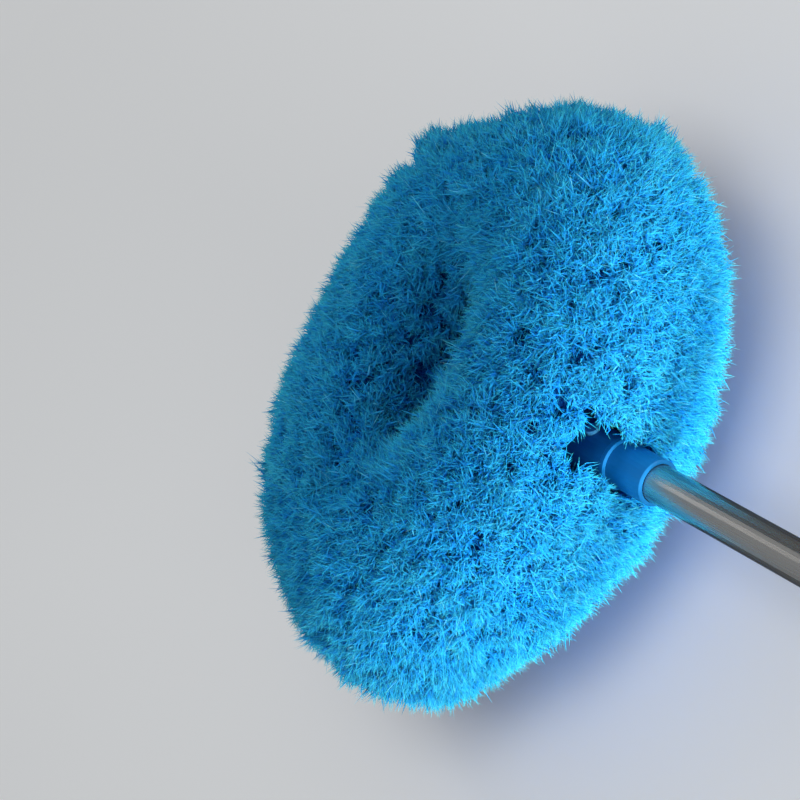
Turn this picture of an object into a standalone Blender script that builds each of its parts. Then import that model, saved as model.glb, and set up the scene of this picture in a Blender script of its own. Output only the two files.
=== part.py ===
"""Ceiling fan duster: a ring of long microfibre pile on two bendable arms, held by a hub
whose socket snaps onto a three-section telescopic pole with twist locks.

It lies flat. +Y runs from the grip to the ring, +X along the ring's long side, +Z up.
The origin is on the floor, under the middle of the whole duster's length. Places along
the pole are distances from the ring's centre, counted towards the grip.
"""

import math
import random

import bmesh
import bpy
from mathutils import Vector

MM = 0.001

# Clearances and cutting
SEAT_GAP = 0.3 * MM
OVERRUN = 3 * MM

# Ring of pile
RING_LENGTH = 330 * MM
RING_HEIGHT = 263 * MM
PILE_REACH = 73 * MM
FLOOR_CUT = 0.5 * MM
ARM_OVAL_LENGTH = 180 * MM
ARM_OVAL_HEIGHT = 112 * MM
BLADE_SLOT_LENGTH = 152 * MM
BLADE_SLOT_WIDTH = 24 * MM
OVAL_POWER = 2.25
SECTIONS_PER_SIDE = 6
ROWS_PER_SECTION = 3
TUFTS_ROUND = 12
BACKING_RADIUS = 9 * MM
BACKING_BORE = 5.6 * MM
TUFT_TIP_WIDTH = 3 * MM
POLE_CLEFT = 17 * MM
TOP_PARTING = 1.5 * MM
SLOT_REACH_SHARE = 0.97
TUFT_BELLY_SHARE = 0.45
TUFT_INSET_SHARE = 0.25
TIP_SCATTER_SHARE = 0.22
LENGTH_SCATTER_SHARE = 0.06
TUFT_SEED = 7

# Arms
ARM_RADIUS = 5 * MM
ARM_BORE = 2.5 * MM
ARM_SIDES = 8
WIRE_RADIUS = 2 * MM
WIRE_SIDES = 6
WIRE_END_X = 5 * MM
ARM_END_X = 16.5 * MM
FERRULE_RADIUS = 3.2 * MM
FERRULE_BORE = 2.35 * MM
FERRULE_START_X = 6 * MM
FERRULE_LENGTH = 9 * MM
BACKING_START_X = 28 * MM
COUPLER_LENGTH = 27 * MM
COUPLER_RADIUS = 7.5 * MM
COUPLER_SIDES = 16
ARM_TOP_GAP = 3 * MM

# Hub
HUB_WIDTH = 48 * MM
HUB_RISE = 11 * MM
HUB_DROP = 17 * MM
HUB_THICKNESS = 26 * MM
HUB_WALL = 2.4 * MM
HUB_ROUND = 3 * MM
CRADLE_HEIGHT = 13 * MM
CRADLE_START_X = 3.6 * MM
SCREW_RADIUS = 1.3 * MM
SCREW_LENGTH = 17 * MM
SCREW_HEAD_RADIUS = 2.8 * MM
SCREW_HEAD_HEIGHT = 2 * MM
SCREW_SIDES = 12
BOSS_RADIUS = 4.2 * MM
BOSS_SIDES = 16
UPPER_SCREW_X = 12 * MM
UPPER_SCREW_RISE = 6.8 * MM
LOWER_SCREW_X = 17 * MM
LOWER_SCREW_DROP = 11.4 * MM

# Socket
RIM_PLACE = 112.6 * MM
RIM_RADIUS = 13.95 * MM
RIM_LENGTH = 4.2 * MM
RIM_ROUND = 0.9 * MM
SOCKET_RADIUS = 13.2 * MM
SHOULDER_LENGTH = 4 * MM
SHOULDER_RADIUS = 10.5 * MM
MOUTH_DEPTH = 5 * MM
NECK_RADIUS = 7 * MM
NECK_FLANGE_RADIUS = 10.5 * MM
NECK_FLANGE_LENGTH = 3 * MM
NECK_FLANGE_DEPTH = 4 * MM
NECK_TIP_LENGTH = 2 * MM
ROUND_SIDES = 32

# Pole connector
SLEEVE_END_PLACE = 138.9 * MM
SLEEVE_RADIUS = 12.3 * MM
SLEEVE_ROUND = 0.6 * MM
SPIGOT_RADIUS = 11 * MM
SPIGOT_BORE = 8.5 * MM
SPIGOT_TOP_WALL = 2.5 * MM
SOCKET_ROOF = 2.4 * MM

# Snap button and its leaf spring
BUTTON_FROM_RIM = 21 * MM
BUTTON_TILT = math.radians(37)
BUTTON_RADIUS = 3.9 * MM
BUTTON_PROUD = 1.6 * MM
BUTTON_ROUND = 0.5 * MM
BUTTON_FLANGE_RADIUS = 4.9 * MM
BUTTON_FLANGE_HEIGHT = 1.4 * MM
BUTTON_FLANGE_PLACE = 6.4 * MM
BUTTON_SIDES = 20
SPRING_WIDTH = 5.4 * MM
SPRING_THICKNESS = 0.6 * MM
SPRING_LEG = 9 * MM
SPRING_BEND_STEPS = 6

# Telescopic tubes
INNER_TUBE_RADIUS = 10 * MM
MIDDLE_TUBE_RADIUS = 11.5 * MM
OUTER_TUBE_RADIUS = 13 * MM
TUBE_WALL = 0.5 * MM
INNER_TUBE_LENGTH = 392 * MM
MIDDLE_TUBE_LENGTH = 335 * MM
OUTER_TUBE_LENGTH = 320 * MM
BARE_INNER_LENGTH = 150 * MM
BARE_MIDDLE_LENGTH = 40 * MM
TUBE_SIDES = 32

# Twist locks: a slotted collet on the larger tube's end, and a collar that squeezes it
COLLAR_LENGTH = 42 * MM
COLLAR_WALL = 2.6 * MM
COLLAR_LIP = 1.7 * MM
COLLAR_ROUND = 1.2 * MM
COLLAR_WAIST_DEPTH = 1 * MM
COLLAR_RIDGES = 12
COLLAR_RIDGE_DEPTH = 0.7 * MM
COLLAR_SIDES = 36
FINGER_LENGTH = 22 * MM
FINGER_TAPER = 1 * MM
COLLET_SLEEVE_LENGTH = 18 * MM
COLLET_WALL = 1.5 * MM
COLLET_SLOT_WIDTH = 1.2 * MM
COLLET_SLOT_LENGTH = 17 * MM

# Guides at the lower ends of the sliding tubes
GUIDE_RIM_LENGTH = 3 * MM
GUIDE_PLUG_LENGTH = 12 * MM
GUIDE_BORE = 5 * MM
GUIDE_SIDES = 24

# Grip and end cap
GRIP_LENGTH = 127 * MM
GRIP_RADIUS = 16.2 * MM
GRIP_END_RADIUS = 15 * MM
GRIP_RINGS = 6
GRIP_SIDES = 24
GRIP_GROOVE_DEPTH = 0.9 * MM
GRIP_GROOVE_LENGTH = 3 * MM
CAP_PLUG_LENGTH = 20 * MM
CAP_FLANGE_RADIUS = 15.4 * MM
CAP_FLANGE_LENGTH = 5 * MM
CAP_ROUND = 2 * MM
TAB_WIDTH = 22 * MM
TAB_THICKNESS = 8 * MM
TAB_LENGTH = 28 * MM
TAB_SINK = 2.5 * MM
TAB_CORNER_SHARE = 0.9
TAB_CORNER_STEPS = 5
HANG_HOLE_RADIUS = 5 * MM
HANG_HOLE_SIDES = 24
HANG_HOLE_WALL = 6 * MM

# Worked out from the sizes above
HALF_LENGTH = RING_LENGTH / 2
HALF_HEIGHT = RING_HEIGHT / 2
ARM_HALF_X = ARM_OVAL_LENGTH / 2
ARM_HALF_Y = ARM_OVAL_HEIGHT / 2
SLOT_HALF_X = BLADE_SLOT_LENGTH / 2
SLOT_HALF_Y = BLADE_SLOT_WIDTH / 2
ROWS_PER_SIDE = SECTIONS_PER_SIDE * ROWS_PER_SECTION

HUB_BOTTOM_PLACE = ARM_HALF_Y + HUB_DROP
HUB_TOP_PLACE = ARM_HALF_Y - HUB_RISE
SOCKET_TOP_PLACE = HUB_BOTTOM_PLACE + SEAT_GAP
SPIGOT_TOP_PLACE = SOCKET_TOP_PLACE + SOCKET_ROOF + SEAT_GAP
SOCKET_BORE = SPIGOT_RADIUS + SEAT_GAP
MOUTH_BORE = SLEEVE_RADIUS + SEAT_GAP
MOUTH_STEP_PLACE = RIM_PLACE - MOUTH_DEPTH
SLEEVE_TOP_PLACE = MOUTH_STEP_PLACE + SEAT_GAP
SLEEVE_BORE = INNER_TUBE_RADIUS + SEAT_GAP
INNER_TOP_PLACE = SLEEVE_TOP_PLACE + TUBE_WALL
INNER_END_PLACE = INNER_TOP_PLACE + INNER_TUBE_LENGTH
BUTTON_PLACE = RIM_PLACE - BUTTON_FROM_RIM

MIDDLE_COLLAR_PLACE = SLEEVE_END_PLACE + BARE_INNER_LENGTH
FINGERS_BELOW_COLLAR_TOP = COLLAR_LIP + SEAT_GAP
TUBE_BELOW_COLLAR_TOP = FINGERS_BELOW_COLLAR_TOP + FINGER_LENGTH + SEAT_GAP
MIDDLE_TOP_PLACE = MIDDLE_COLLAR_PLACE + TUBE_BELOW_COLLAR_TOP
MIDDLE_END_PLACE = MIDDLE_TOP_PLACE + MIDDLE_TUBE_LENGTH
# The middle tube is bare this far when its guide meets the end cap's plug: below zero,
# the collars meet first. What is bare at rest counts from whichever stop comes first.
MIDDLE_GUIDE_REACH = MIDDLE_TUBE_LENGTH + GUIDE_RIM_LENGTH + SEAT_GAP
MIDDLE_GUIDE_ROOM = OUTER_TUBE_LENGTH + COLLAR_LENGTH - CAP_PLUG_LENGTH
MIDDLE_STOP_LENGTH = max(0, MIDDLE_GUIDE_REACH - MIDDLE_GUIDE_ROOM)
MIDDLE_PULLED_LENGTH = MIDDLE_STOP_LENGTH + BARE_MIDDLE_LENGTH
OUTER_COLLAR_PLACE = MIDDLE_COLLAR_PLACE + COLLAR_LENGTH + MIDDLE_PULLED_LENGTH
OUTER_TOP_PLACE = OUTER_COLLAR_PLACE + TUBE_BELOW_COLLAR_TOP
OUTER_END_PLACE = OUTER_TOP_PLACE + OUTER_TUBE_LENGTH
CAP_FACE_PLACE = OUTER_END_PLACE + SEAT_GAP
TAB_START_PLACE = CAP_FACE_PLACE + CAP_FLANGE_LENGTH - TAB_SINK
TAB_END_PLACE = TAB_START_PLACE + TAB_LENGTH
HANG_HOLE_PLACE = TAB_END_PLACE - HANG_HOLE_WALL - HANG_HOLE_RADIUS

RING_Y = (TAB_END_PLACE - HALF_HEIGHT) / 2
AXIS_Z = PILE_REACH - FLOOR_CUT


# Materials

def finish(name, colour, roughness, metallic=0.0):
    """A plain Principled material."""
    made = bpy.data.materials.new(name)
    made.use_nodes = True
    shader = made.node_tree.nodes["Principled BSDF"]
    shader.inputs["Base Color"].default_value = (*colour, 1.0)
    shader.inputs["Roughness"].default_value = roughness
    shader.inputs["Metallic"].default_value = metallic
    made.diffuse_color = (*colour, 1.0)
    return made


# Objects and how they are joined

def place_frames():
    """Empties at the ring's centre: one lying with the ring, one with +Z up the pole."""
    ring = bpy.data.objects.new("ring_centre", None)
    ring.location = (0, RING_Y, AXIS_Z)
    pole = bpy.data.objects.new("pole_axis", None)
    pole.location = ring.location
    pole.rotation_euler = (-math.pi / 2, 0, 0)
    button = bpy.data.objects.new("button_axis", None)
    button.parent = pole
    button.location = (0, 0, -BUTTON_PLACE)
    button.rotation_euler = (math.pi / 2, 0, 0)
    tilt = bpy.data.objects.new("button_tilt", None)
    tilt.parent = button
    tilt.rotation_euler = (0, BUTTON_TILT, 0)
    for empty in (ring, pole, button, tilt):
        bpy.context.scene.collection.objects.link(empty)
    return ring, pole, tilt


def add(name, shape, frame, material):
    """Turn a bmesh into an object under one of the frames."""
    bmesh.ops.recalc_face_normals(shape, faces=shape.faces)
    mesh = bpy.data.meshes.new(name)
    shape.to_mesh(mesh)
    shape.free()
    mesh.shade_smooth()
    mesh.set_sharp_from_angle(angle=math.radians(35))
    made = bpy.data.objects.new(name, mesh)
    made.parent = frame
    if material:
        mesh.materials.append(material)
    bpy.context.scene.collection.objects.link(made)
    return made


def helper(name, shape, frame):
    """A cutter or a shape to be joined: shown as wire and left out of the build."""
    made = add(name, shape, frame, None)
    made.hide_render = True
    made.display_type = "WIRE"
    return made


def combine(target, other, operation):
    """Cut or join one object with another by an exact Boolean."""
    step = target.modifiers.new(other.name, "BOOLEAN")
    step.operation = operation
    step.object = other
    step.solver = "EXACT"


# Basic shapes

def turned(profile, sides, ridges=None):
    """Spin a closed profile of (place, radius) points round the pole's axis.

    A point at radius 0 is on the axis. ridges is a function of the point's index and the
    turn, giving how far that point is drawn in.
    """
    shape = bmesh.new()
    rings = []
    for index, (place, radius) in enumerate(profile):
        if radius == 0:
            rings.append([shape.verts.new((0, 0, -place))])
            continue
        ring = []
        for step in range(sides):
            turn = 2 * math.pi * step / sides
            reach = radius - (ridges(index, step) if ridges else 0)
            point = (reach * math.cos(turn), reach * math.sin(turn), -place)
            ring.append(shape.verts.new(point))
        rings.append(ring)
    for index, ring in enumerate(rings):
        after = rings[(index + 1) % len(rings)]
        if len(ring) == 1 and len(after) == 1:
            continue
        for step in range(sides):
            other = (step + 1) % sides
            if len(ring) == 1:
                shape.faces.new((ring[0], after[step], after[other]))
            elif len(after) == 1:
                shape.faces.new((ring[step], ring[other], after[0]))
            else:
                shape.faces.new((ring[step], ring[other], after[other], after[step]))
    return shape


def tube(start, end, radius, bore, sides):
    """A plain hollow tube between two places on the pole."""
    return turned([(start, bore), (start, radius), (end, radius), (end, bore)], sides)


def rod(start, end, radius, sides):
    """A solid round bar between two places on the pole."""
    return turned([(start, 0), (start, radius), (end, radius), (end, 0)], sides)


def block(low, high):
    """A box between two corners."""
    shape = bmesh.new()
    bmesh.ops.create_cube(shape, size=1)
    size = Vector(high) - Vector(low)
    middle = (Vector(high) + Vector(low)) / 2
    bmesh.ops.scale(shape, vec=size, verts=shape.verts)
    bmesh.ops.translate(shape, vec=middle, verts=shape.verts)
    return shape


def post(x, y, low, high, radius, sides):
    """An upright round bar in the ring's frame."""
    shape = bmesh.new()
    bmesh.ops.create_cone(
        shape, cap_ends=True, segments=sides, radius1=radius, radius2=radius, depth=high - low
    )
    bmesh.ops.translate(shape, vec=(x, y, (low + high) / 2), verts=shape.verts)
    return shape


def rounded_edges(shape, width, steps, wanted):
    """Bevel the edges that a test picks out."""
    edges = [edge for edge in shape.edges if wanted(edge)]
    bmesh.ops.bevel(
        shape, geom=edges, offset=width, segments=steps, profile=0.5, affect="EDGES"
    )
    return shape


# The ring's ovals

def oval_shares(angle):
    """Where an angle falls on the ring's ovals, as shares of their half length and height."""
    power = 2 / OVAL_POWER
    across, along = math.cos(angle), math.sin(angle)
    x_share = math.copysign(abs(across) ** power, across)
    y_share = math.copysign(abs(along) ** power, along)
    return x_share, y_share


def ring_point(angle, depth):
    """A point in the ring's plane: depth is -1 at the slot, 0 on the arm, 1 at the pile's edge."""
    to_x, to_y = (HALF_LENGTH, HALF_HEIGHT) if depth > 0 else (SLOT_HALF_X, SLOT_HALF_Y)
    share = abs(depth)
    half_x = ARM_HALF_X + (to_x - ARM_HALF_X) * share
    half_y = ARM_HALF_Y + (to_y - ARM_HALF_Y) * share
    x_share, y_share = oval_shares(angle)
    return Vector((half_x * x_share, half_y * y_share, 0))


def angle_at_x(x, half_x, top):
    """The angle at which an oval is a distance from the pole's axis, at the top or bottom."""
    angle = math.acos((x / half_x) ** (OVAL_POWER / 2))
    return angle if top else -angle


def even_angles(first, last, count, depth):
    """Angles that part the stretch of an oval into equal lengths."""
    fine = 40 * count
    angles = [first + (last - first) * step / fine for step in range(fine + 1)]
    points = [ring_point(angle, depth) for angle in angles]
    run = [0]
    for before, after in zip(points, points[1:]):
        run.append(run[-1] + (after - before).length)
    wanted = [run[-1] * index / count for index in range(count + 1)]
    result, at = [], 0
    for length in wanted:
        while at < fine - 1 and run[at + 1] < length:
            at += 1
        share = (length - run[at]) / (run[at + 1] - run[at])
        result.append(angles[at] + (angles[at + 1] - angles[at]) * share)
    return result


def arm_frame(angle):
    """The arm's centre, its outward direction and its direction of travel at an angle."""
    nudge = 1e-4
    centre = ring_point(angle, 0)
    along = (ring_point(angle + nudge, 0) - ring_point(angle - nudge, 0)).normalized()
    outward = Vector((along.y, -along.x, 0))
    return centre, outward, along


def arm_angles():
    """The angles of the arm's ends and of every row of tufts, from the hub to the top."""
    start = angle_at_x(BACKING_START_X, ARM_HALF_X, False)
    stop = angle_at_x(COUPLER_LENGTH / 2 + SEAT_GAP, ARM_HALF_X, True)
    return even_angles(start, stop, ROWS_PER_SIDE, 0)


def on_side(point, side):
    """The same point on the right side (1) or the left side (-1)."""
    return Vector((point.x * side, point.y, point.z))


def along_arm(angles, radius, bore, sides, side):
    """A tube, or a bar where bore is 0, that follows the arm through some angles."""
    shape = bmesh.new()
    loops = {}
    for index, angle in enumerate(angles):
        centre, outward, _ = arm_frame(angle)
        for reach in (radius, bore):
            if reach == 0:
                continue
            ring = []
            for step in range(sides):
                turn = 2 * math.pi * step / sides
                away = outward * math.cos(turn) + Vector((0, 0, math.sin(turn)))
                ring.append(shape.verts.new(on_side(centre + away * reach, side)))
            loops[index, reach] = ring
    last = len(angles) - 1
    for reach in (radius, bore):
        if reach == 0:
            continue
        for index in range(last):
            join_rings(shape, loops[index, reach], loops[index + 1, reach])
    for index in (0, last):
        if bore:
            join_rings(shape, loops[index, radius], loops[index, bore])
        else:
            shape.faces.new(loops[index, radius])
    return shape


def join_rings(shape, first, second):
    """A band of faces between two rings of as many points."""
    count = len(first)
    for step in range(count):
        other = (step + 1) % count
        shape.faces.new((first[step], first[other], second[other], second[step]))


# Pile: each section is a slice of the cover's backing with its tufts growing out of it

def reach_point(tip_angle, turn, share):
    """A point of the pile at a turn about the arm, as a share of its full reach."""
    across, up = math.cos(turn), math.sin(turn)
    if across >= 0:
        point = ring_point(tip_angle, across * share)
        point.z = PILE_REACH * up * share
        return point
    room = (ring_point(tip_angle, 0) - ring_point(tip_angle, -1)).length
    reach = min(PILE_REACH, room * SLOT_REACH_SHARE / -across)
    point = ring_point(tip_angle, across * share * reach / room)
    point.z = reach * up * share
    return point


def between(angles, row):
    """The angle at a row, where a row may lie between two of the list's."""
    index = min(int(row), len(angles) - 2)
    return angles[index] + (angles[index + 1] - angles[index]) * (row - index)


def backing_point(angles, row, turn, radius, shift):
    """A point on the backing's surface, moved along the arm by a shift."""
    centre, outward, along = arm_frame(between(angles, row))
    away = outward * math.cos(turn) + Vector((0, 0, math.sin(turn)))
    return centre + away * radius + along * shift


def pile_section(section, side):
    """One slice of backing with its rows of tufts."""
    chance = random.Random(TUFT_SEED + section * 2 + (side > 0))
    base_angles = arm_angles()
    low = angle_at_x(POLE_CLEFT, HALF_LENGTH, False)
    high = angle_at_x(TOP_PARTING, HALF_LENGTH, True)
    tip_angles = even_angles(low, high, ROWS_PER_SIDE, 0.5)
    first = section * ROWS_PER_SECTION
    rows = range(first, first + ROWS_PER_SECTION + 1)
    step = 2 * math.pi / TUFTS_ROUND
    shape = bmesh.new()

    def ring(row, radius):
        shift = SEAT_GAP / 2 if row == rows[0] else -SEAT_GAP / 2 if row == rows[-1] else 0
        points = [
            backing_point(base_angles, row, step * (index - 0.5), radius, shift)
            for index in range(TUFTS_ROUND)
        ]
        return [shape.verts.new(on_side(point, side)) for point in points]

    outer = [ring(row, BACKING_RADIUS) for row in rows]
    inner = [ring(row, BACKING_BORE) for row in rows]
    for index in range(ROWS_PER_SECTION):
        join_rings(shape, inner[index], inner[index + 1])
    join_rings(shape, outer[0], inner[0])
    join_rings(shape, outer[-1], inner[-1])

    def tuft_point(row, turn, share):
        base = backing_point(base_angles, row, turn, BACKING_RADIUS, 0)
        tip = reach_point(between(tip_angles, row), turn, 1)
        return on_side(base + (tip - base) * share, side)

    def tuft(index, place):
        """Four sides that swell a little to a belly and run out to a tip."""
        row, turn = rows[index], step * place
        after = (place + 1) % TUFTS_ROUND
        base = [
            outer[index][place],
            outer[index + 1][place],
            outer[index + 1][after],
            outer[index][after],
        ]
        edge = 0.5 - TUFT_INSET_SHARE
        corner_shares = [(-edge, -edge), (edge, -edge), (edge, edge), (-edge, edge)]
        belly = []
        for row_share, turn_share in corner_shares:
            at = tuft_point(row + 0.5 + row_share, turn + turn_share * step, TUFT_BELLY_SHARE)
            belly.append(shape.verts.new(at))
        join_rings(shape, base, belly)
        down = place * 4 == TUFTS_ROUND * 3
        row_share = 0.5 + TIP_SCATTER_SHARE * chance.uniform(-1, 1)
        turn_share = TIP_SCATTER_SHARE * chance.uniform(-1, 1)
        length_share = 1 - LENGTH_SCATTER_SHARE * chance.random()
        if not down:
            at = tuft_point(row + row_share, turn + turn_share * step, length_share)
            tip = shape.verts.new(at)
            for corner in range(4):
                shape.faces.new((belly[corner], belly[(corner + 1) % 4], tip))
            return
        end = tuft_point(row + row_share, turn, 1)
        middle = sum((corner.co for corner in belly), Vector()) / 4
        flat = []
        for corner in belly:
            away = corner.co - middle
            away.z = 0
            at = end + away.normalized() * TUFT_TIP_WIDTH / 2
            at.z = -AXIS_Z
            flat.append(shape.verts.new(at))
        join_rings(shape, belly, flat)
        shape.faces.new(flat)

    for index in range(ROWS_PER_SECTION):
        for place in range(TUFTS_ROUND):
            tuft(index, place)
    return shape


def make_pile(ring, material):
    """Twelve sections of pile, numbered from the hub to the top on each side."""
    for side, word in ((-1, "left"), (1, "right")):
        for section in range(SECTIONS_PER_SIDE):
            shape = pile_section(section, side)
            add(f"{word}_pile_{section + 1}", shape, ring, material)


# Arms

def make_arms(ring, coat, wire, crimp):
    """On each side a steel wire in a plastic coat, crimped in a ferrule inside the hub."""
    rows = arm_angles()
    coat_start = angle_at_x(ARM_END_X, ARM_HALF_X, False)
    wire_start = angle_at_x(WIRE_END_X, ARM_HALF_X, False)
    crimp_start = angle_at_x(FERRULE_START_X, ARM_HALF_X, False)
    crimp_end = angle_at_x(FERRULE_START_X + FERRULE_LENGTH, ARM_HALF_X, False)
    top = angle_at_x(ARM_TOP_GAP / 2, ARM_HALF_X, True)
    inset = angle_at_x(ARM_TOP_GAP, ARM_HALF_X, True)
    coat_angles = [coat_start] + rows + [top]
    wire_angles = [wire_start, coat_start] + rows + [inset]
    for side, word in ((-1, "left"), (1, "right")):
        shape = along_arm(coat_angles, ARM_RADIUS, ARM_BORE, ARM_SIDES, side)
        add(f"{word}_arm_tube", shape, ring, coat)
        shape = along_arm(wire_angles, WIRE_RADIUS, 0, WIRE_SIDES, side)
        add(f"{word}_arm_wire", shape, ring, wire)
        shape = along_arm(
            [crimp_start, crimp_end], FERRULE_RADIUS, FERRULE_BORE, ARM_SIDES, side
        )
        add(f"{word}_wire_ferrule", shape, ring, crimp)


def make_coupler(ring, material):
    """The sleeve at the top that the two arms push into."""
    bore = ARM_RADIUS + SEAT_GAP + SEAT_GAP
    half = COUPLER_LENGTH / 2
    shape = turned(
        [(-half, bore), (-half, COUPLER_RADIUS), (half, COUPLER_RADIUS), (half, bore)],
        COUPLER_SIDES,
    )
    made = add("arm_coupler", shape, ring, material)
    made.location = (0, ring_point(angle_at_x(half / 2, ARM_HALF_X, True), 0).y, 0)
    made.rotation_euler = (0, math.pi / 2, 0)


# Hub

def screw_places():
    """The four screws' X and Y in the ring's frame."""
    upper = UPPER_SCREW_RISE - ARM_HALF_Y
    lower = -ARM_HALF_Y - LOWER_SCREW_DROP
    return [
        (-UPPER_SCREW_X, upper),
        (UPPER_SCREW_X, upper),
        (-LOWER_SCREW_X, lower),
        (LOWER_SCREW_X, lower),
    ]


def hub_helpers(ring, pole):
    """Everything that both halves of the hub are cut by or joined with, in order."""
    wall_x = HUB_WIDTH / 2 - HUB_WALL
    wall_top = -HUB_TOP_PLACE - HUB_WALL
    wall_bottom = -HUB_BOTTOM_PLACE + HUB_WALL
    inside = HUB_THICKNESS / 2 - HUB_WALL
    sink = HUB_WALL / 2
    steps = []
    shape = block((-wall_x, wall_bottom, -inside), (wall_x, wall_top, inside))
    steps.append((helper("hub_cavity", shape, ring), "DIFFERENCE"))
    half = CRADLE_HEIGHT / 2
    deep = inside + sink
    for side, word in ((-1, "left"), (1, "right")):
        near, far = sorted((side * CRADLE_START_X, side * (wall_x + sink)))
        shape = block((near, -ARM_HALF_Y - half, -deep), (far, -ARM_HALF_Y + half, deep))
        steps.append((helper(f"{word}_cradle", shape, ring), "UNION"))
    neck_block = NECK_FLANGE_RADIUS + HUB_WALL
    neck_top = -HUB_BOTTOM_PLACE + NECK_FLANGE_DEPTH + NECK_FLANGE_LENGTH + NECK_TIP_LENGTH
    shape = block((-neck_block, wall_bottom - sink, -deep), (neck_block, neck_top, deep))
    steps.append((helper("neck_block", shape, ring), "UNION"))
    for number, (x, y) in enumerate(screw_places()):
        shape = post(x, y, -deep, deep, BOSS_RADIUS, BOSS_SIDES)
        steps.append((helper(f"boss_{number + 1}", shape, ring), "UNION"))
    clear_arm = ARM_RADIUS + SEAT_GAP
    clear_crimp = FERRULE_RADIUS + SEAT_GAP
    past = HUB_WIDTH / 2 + OVERRUN
    arm_in = [angle_at_x(x, ARM_HALF_X, False) for x in (ARM_END_X - SEAT_GAP, past)]
    crimp_in = [
        angle_at_x(x, ARM_HALF_X, False) for x in (WIRE_END_X - SEAT_GAP, ARM_END_X)
    ]
    for side, word in ((-1, "left"), (1, "right")):
        shape = along_arm(arm_in, clear_arm, 0, 2 * ARM_SIDES, side)
        steps.append((helper(f"{word}_arm_channel", shape, ring), "DIFFERENCE"))
        shape = along_arm(crimp_in, clear_crimp, 0, 2 * ARM_SIDES, side)
        steps.append((helper(f"{word}_ferrule_pocket", shape, ring), "DIFFERENCE"))
    flange_end = HUB_BOTTOM_PLACE - NECK_FLANGE_DEPTH + SEAT_GAP
    flange_start = flange_end - NECK_FLANGE_LENGTH - SEAT_GAP - SEAT_GAP
    shape = rod(
        flange_start - NECK_TIP_LENGTH - OVERRUN,
        HUB_BOTTOM_PLACE + OVERRUN,
        NECK_RADIUS + SEAT_GAP,
        ROUND_SIDES,
    )
    steps.append((helper("neck_channel", shape, pole), "DIFFERENCE"))
    shape = rod(flange_start, flange_end, NECK_FLANGE_RADIUS + SEAT_GAP, ROUND_SIDES)
    steps.append((helper("flange_groove", shape, pole), "DIFFERENCE"))
    head_seat = -HUB_THICKNESS / 2 + SCREW_HEAD_HEIGHT + SEAT_GAP
    for number, (x, y) in enumerate(screw_places()):
        below = -HUB_THICKNESS / 2 - OVERRUN
        top = head_seat + SCREW_LENGTH + SEAT_GAP
        shape = post(x, y, below, top, SCREW_RADIUS + SEAT_GAP, SCREW_SIDES)
        steps.append((helper(f"screw_hole_{number + 1}", shape, ring), "DIFFERENCE"))
        shape = post(x, y, below, head_seat, SCREW_HEAD_RADIUS + SEAT_GAP, SCREW_SIDES)
        steps.append((helper(f"head_seat_{number + 1}", shape, ring), "DIFFERENCE"))
    return steps


def make_hub(ring, pole, material):
    """Two half shells that clamp the arms' ends and the socket's neck."""
    steps = hub_helpers(ring, pole)
    side = HUB_WIDTH / 2
    thick = HUB_THICKNESS / 2
    for name, sign in (("hub_front_shell", 1), ("hub_rear_shell", -1)):
        low = (-side, -HUB_BOTTOM_PLACE, -thick)
        high = (side, -HUB_TOP_PLACE, thick)
        shape = rounded_edges(block(low, high), HUB_ROUND, 2, lambda edge: True)
        shell = add(name, shape, ring, material)
        near, far = sorted((sign * SEAT_GAP / 2, -sign * (thick + OVERRUN)))
        reach = side + OVERRUN
        half_off = block(
            (-reach, -HUB_BOTTOM_PLACE - OVERRUN, near),
            (reach, -HUB_TOP_PLACE + OVERRUN, far),
        )
        for other, operation in steps:
            combine(shell, other, operation)
        combine(shell, helper(f"{name}_parting", half_off, ring), "DIFFERENCE")


def make_screws(ring, material):
    """Pan-head screws from the rear shell into the front shell's bosses."""
    seat = -HUB_THICKNESS / 2 + SCREW_HEAD_HEIGHT
    for number, (x, y) in enumerate(screw_places()):
        profile = [
            (SCREW_HEAD_HEIGHT, 0),
            (SCREW_HEAD_HEIGHT, SCREW_HEAD_RADIUS),
            (0, SCREW_HEAD_RADIUS),
            (0, SCREW_RADIUS),
            (-SCREW_LENGTH, SCREW_RADIUS),
            (-SCREW_LENGTH, 0),
        ]
        made = add(f"hub_screw_{number + 1}", turned(profile, SCREW_SIDES), ring, material)
        made.location = (x, y, seat)


# Socket, connector, button and spring

def button_hole(radius, tilt, name):
    """The round hole that the snap button comes out of."""
    shape = bmesh.new()
    length = RIM_RADIUS + OVERRUN
    bmesh.ops.create_cone(
        shape, cap_ends=True, segments=BUTTON_SIDES, radius1=radius, radius2=radius, depth=length
    )
    bmesh.ops.translate(shape, vec=(0, 0, length / 2), verts=shape.verts)
    return helper(name, shape, tilt)


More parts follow.
